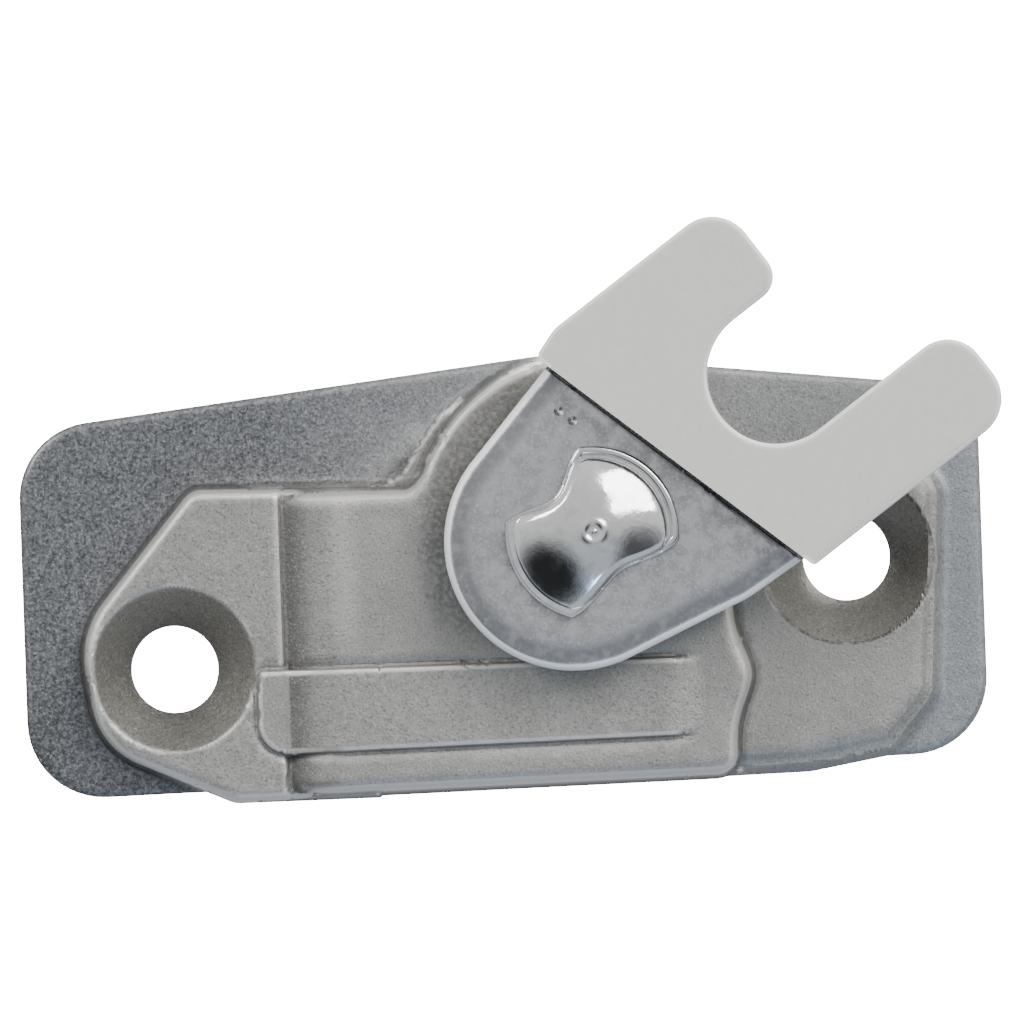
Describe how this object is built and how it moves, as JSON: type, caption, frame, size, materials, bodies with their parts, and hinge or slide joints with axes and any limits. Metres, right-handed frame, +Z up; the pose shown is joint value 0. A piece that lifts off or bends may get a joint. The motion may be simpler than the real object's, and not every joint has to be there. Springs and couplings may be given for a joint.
{
  "type": "forked gate latch",
  "caption": "Flat flanged casting with a screw ear at each end. A lever behind it turns a spindle that swings a forked arm, raised off the front, on to a pin and holds it there.",
  "frame": {"origin": "on the flange's flat back, level with the spindle and 19 mm to its left as seen from the fork's side", "axes": "+Y out of the flange's back, along the spindle to the handle; +X along the flange towards the fork's end; +Z up, from the spring pocket to the flange's peak"},
  "size_m": [0.0588, 0.0229, 0.034],
  "materials": {
    "cast_zinc": "bare zinc die casting, fine sandy skin, darker and speckled towards the flange's edges",
    "cover_zinc": "bare zinc die casting, satin",
    "screw_steel": "zinc plated",
    "pin_steel": "ground",
    "spring_steel": "blued spring strip",
    "washer_nylon": "natural nylon",
    "bright_steel": "bright, riveted head polished by the tool",
    "plated_steel": "zinc plated, glossy and blue-grey round the spindle, matt and pale on the tines",
    "washer_steel": "zinc plated",
    "sintered_steel": "sintered, oiled",
    "dark_paint": "dark graphite paint, fine texture"
  },
  "bodies": {
    "body": {"lock_body": "cast_zinc", "back_cover": "cover_zinc", "cover_screw_1": "screw_steel", "cover_screw_2": "screw_steel", "cover_screw_3": "screw_steel", "stop_pin": "pin_steel", "detent_spring": "spring_steel", "cam_washer": "washer_nylon"},
    "turning": {"spindle": "bright_steel", "fork_lever": "plated_steel", "fork_washer": "washer_steel", "detent_cam": "sintered_steel", "thrust_ring": "washer_nylon", "handle": "dark_paint", "handle_screw": "screw_steel"}
  },
  "joints": [
    {"name": "spindle_turn", "type": "hinge", "parent": "body", "child": "turning", "pos_m": [0.019, 0, 0], "axis": [0, -1, 0], "range_deg": [0, 90], "deforming": ["detent_spring"]}
  ]
}
